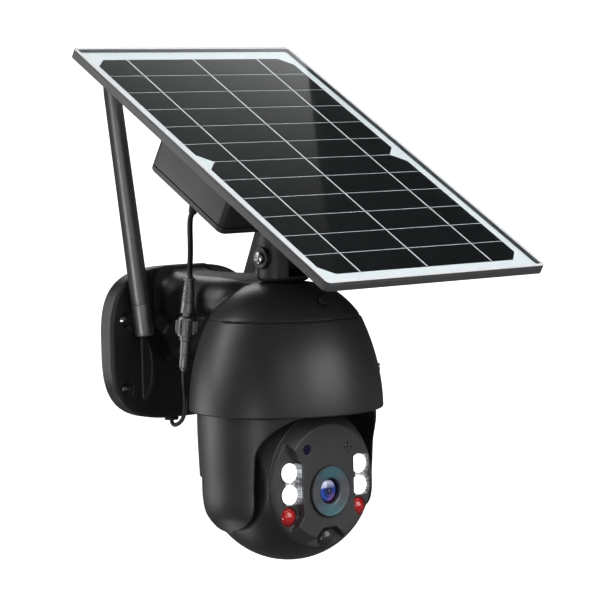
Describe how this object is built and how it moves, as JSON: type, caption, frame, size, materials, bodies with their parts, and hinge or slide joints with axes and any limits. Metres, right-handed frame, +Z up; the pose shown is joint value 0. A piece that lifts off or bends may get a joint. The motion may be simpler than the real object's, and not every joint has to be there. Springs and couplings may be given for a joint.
{
  "type": "solar-powered pan and tilt security camera",
  "caption": "Wall-arm dome with a panning yoke, a tilting ball camera head with lamps, a tilting solar panel with battery box, and folding antennas.",
  "frame": {"origin": "centre of the four wall screw holes, on the back face of the wall plate", "axes": "+Z up, the camera faces -Y, +Y points into the wall, +X is to the right when the camera is seen from the front"},
  "size_m": [0.2095, 0.2727, 0.3526],
  "materials": {
    "housing_plastic": "satin moulded black ABS",
    "face_plastic": "satin black",
    "inner_plastic": "matte",
    "rubber": "matte",
    "cable_jacket": "satin PVC",
    "connector_plastic": "satin",
    "antenna_plastic": "satin",
    "steel": "plated",
    "motor_can": "plain",
    "gear_nylon": "satin",
    "circuit_board": "solder resist",
    "led_board": "matte",
    "reflector_chrome": "mirror",
    "white_led": "clear dome",
    "lamp_lens": "clear ribbed optic, lit",
    "red_led": "clear red",
    "lens_ring": "coated",
    "lens_black": "matte",
    "lens_glass": "coated",
    "pir_plastic": "satin",
    "button_plastic": "satin",
    "frame_aluminium": "anodised grey",
    "panel_glass": "clear",
    "solar_cell": "silicon",
    "white_sheet": "matte",
    "battery_wrap": "shrink wrap"
  },
  "bodies": {
    "mount_body": {"wall_plate": "housing_plastic", "wall_gasket": "rubber", "arm_screws": "steel", "arm_cap": "housing_plastic", "dome_skirt": "housing_plastic", "skirt_seal": "rubber", "chassis_plate": "inner_plastic", "skirt_screws": "steel", "main_board": "circuit_board", "lte_module": "motor_can", "speaker": "lens_black", "pan_motor": "motor_can", "pan_bearing": "steel", "cap_plug": "rubber", "antenna_pins": "steel", "pigtail_gland": "rubber", "pigtail": "cable_jacket", "connector_socket": "connector_plastic", "connector_plug": "connector_plastic"},
    "coupling_nut": {"connector_nut": "connector_plastic"},
    "pinion": {"pan_pinion": "gear_nylon"},
    "pan_yoke": {"yoke": "housing_plastic", "pan_gear": "gear_nylon", "tilt_pivots": "steel"},
    "head": {"head_shell": "housing_plastic", "face_plate": "face_plastic", "lens_cover": "lens_ring", "lens_barrel": "lens_black", "lens_glass": "lens_glass", "sensor_board": "circuit_board", "led_boards": "led_board", "led_reflectors": "reflector_chrome", "white_leds": "white_led", "lamp_lenses": "lamp_lens", "red_leds": "red_led", "light_sensor": "lens_black", "pir_lens": "pir_plastic", "microphone": "motor_can", "head_screws": "steel", "tilt_motor": "motor_can", "card_cover": "rubber"},
    "reset": {"reset_button": "button_plastic"},
    "swivel": {"swivel_neck": "housing_plastic", "swivel_nut": "steel", "hinge_bolt": "steel", "hinge_nut": "steel"},
    "panel": {"panel_bracket": "housing_plastic", "panel_frame": "frame_aluminium", "panel_glass": "panel_glass", "solar_cells": "solar_cell", "back_sheet": "white_sheet", "battery_box": "housing_plastic", "box_lid": "housing_plastic", "box_screws": "steel", "battery_pack": "battery_wrap", "charge_board": "circuit_board", "lead_gland": "rubber", "power_lead": "cable_jacket"},
    "left_antenna": {"antenna_left": "antenna_plastic"},
    "right_antenna": {"antenna_right": "antenna_plastic"}
  },
  "joints": [
    {"name": "pan", "type": "hinge", "parent": "mount_body", "child": "pan_yoke", "pos_m": [0, -0.12, -0.0125], "axis": [0, 0, 1], "range_deg": [-175, 175]},
    {"name": "pan_pinion_spin", "type": "hinge", "parent": "mount_body", "child": "pinion", "pos_m": [0, -0.084, -0.002], "axis": [0, 0, 1], "range_deg": [-880, 880]},
    {"name": "tilt", "type": "hinge", "parent": "pan_yoke", "child": "head", "pos_m": [0, -0.12, -0.0815], "axis": [1, 0, 0], "range_deg": [0, 90]},
    {"name": "reset_press", "type": "slide", "parent": "head", "child": "reset", "axis": [0, 0, 1], "range_m": [0, 0.0008], "stiffness_N_per_m": 400, "springref_m": -0.0004},
    {"name": "panel_swivel", "type": "hinge", "parent": "mount_body", "child": "swivel", "pos_m": [0, -0.12, 0.05], "axis": [0, 0, 1], "range_deg": [-10, 10]},
    {"name": "panel_tilt", "type": "hinge", "parent": "swivel", "child": "panel", "pos_m": [0, -0.12, 0.069], "axis": [1, 0, 0], "range_deg": [0, 35], "deforming": ["power_lead"]},
    {"name": "left_antenna_fold", "type": "hinge", "parent": "mount_body", "child": "left_antenna", "pos_m": [-0.045, -0.022, 0.022], "axis": [0, -1, 0], "range_deg": [-7.5, 80]},
    {"name": "right_antenna_fold", "type": "hinge", "parent": "mount_body", "child": "right_antenna", "pos_m": [0.045, -0.022, 0.022], "axis": [0, 1, 0], "range_deg": [-21.5, 66]},
    {"name": "coupling_nut_turn", "type": "hinge", "parent": "mount_body", "child": "coupling_nut", "pos_m": [-0.04102, -0.06498, 0.02155], "axis": [0.0626, -0.0556, 0.9965], "continuous": true}
  ],
  "couplings": [
    {"joint": "pan_pinion_spin", "follows": "pan", "ratio": -5}
  ]
}
